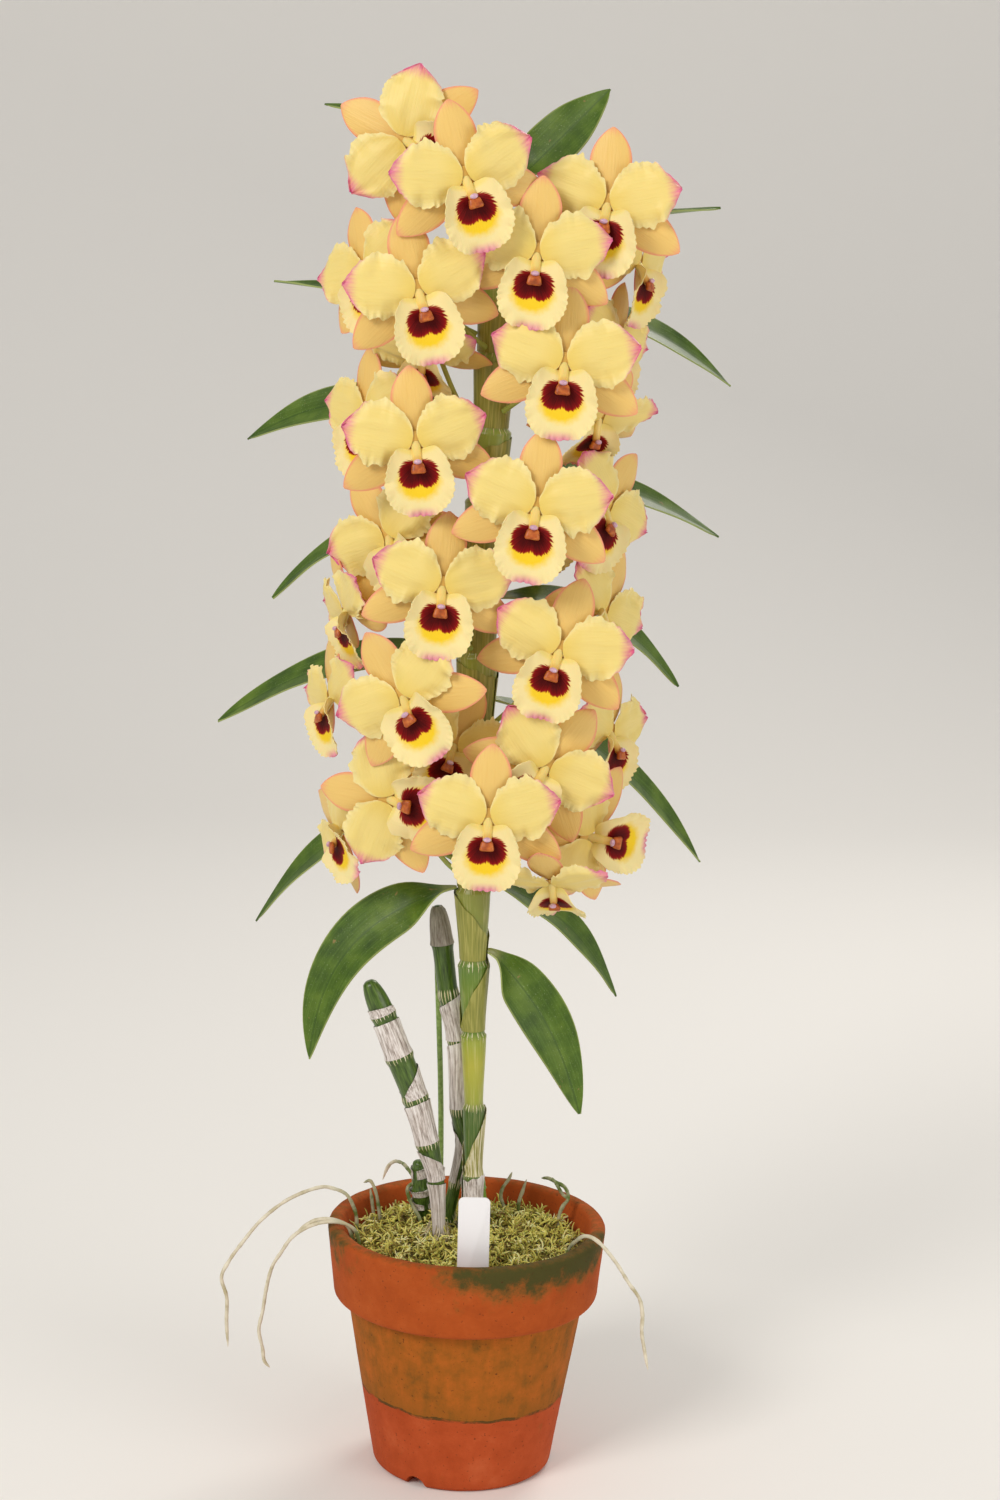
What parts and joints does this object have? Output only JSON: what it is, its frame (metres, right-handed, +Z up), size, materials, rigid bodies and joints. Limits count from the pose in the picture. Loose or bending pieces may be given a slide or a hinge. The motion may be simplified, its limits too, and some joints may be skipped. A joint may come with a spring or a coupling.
{
  "type": "potted orchid",
  "caption": "Tall cane orchid in full flower, growing in moss in a terracotta pot, with leaves, older dry canes, aerial roots, a blank plant label and a support wire.",
  "frame": {"origin": "on the floor under the middle of the plant's bounding box", "axes": "+Z up along the main cane, -Y the side that the flowers face, +X to the right seen from the front"},
  "size_m": [0.273, 0.1564, 0.7419],
  "materials": {
    "terracotta": "matte, weathered",
    "sphagnum_moss": "fibrous",
    "white_label": "satin",
    "green_coated_wire": "satin",
    "green_cane": "satin, papery sheaths",
    "dry_sheath": "matte, papery",
    "root_skin": "matte",
    "leaf": "slight gloss",
    "petal": "soft satin"
  },
  "bodies": {
    "root": {"pot": "terracotta", "potting_moss": "sphagnum_moss", "plant_label": "white_label", "stake": "green_coated_wire", "main_cane": "green_cane", "second_cane": "dry_sheath", "old_cane": "dry_sheath", "back_bulb": "dry_sheath", "root_left_high": "root_skin", "root_left_low": "root_skin", "root_right": "root_skin", "root_inner_left": "root_skin", "root_inner_right": "root_skin", "root_curly": "root_skin", "leaf_01": "leaf", "leaf_02": "leaf", "leaf_03": "leaf", "leaf_04": "leaf", "leaf_05": "leaf", "leaf_06": "leaf", "leaf_07": "leaf", "leaf_08": "leaf", "leaf_09": "leaf", "leaf_10": "leaf", "leaf_11": "leaf", "leaf_12": "leaf", "leaf_13": "leaf", "leaf_14": "leaf", "leaf_15": "leaf", "bloom_01": "petal", "bloom_02": "petal", "bloom_03": "petal", "bloom_04": "petal", "bloom_05": "petal", "bloom_06": "petal", "bloom_07": "petal", "bloom_08": "petal", "bloom_09": "petal", "bloom_10": "petal", "bloom_11": "petal", "bloom_12": "petal", "bloom_13": "petal", "bloom_14": "petal", "bloom_15": "petal", "bloom_16": "petal", "bloom_17": "petal", "bloom_18": "petal", "bloom_19": "petal", "bloom_20": "petal", "bloom_21": "petal", "bloom_22": "petal", "bloom_23": "petal", "bloom_24": "petal", "bloom_25": "petal", "bloom_26": "petal", "bloom_27": "petal", "bloom_28": "petal", "bloom_29": "petal", "bloom_30": "petal", "bloom_31": "petal"}
  },
  "joints": []
}
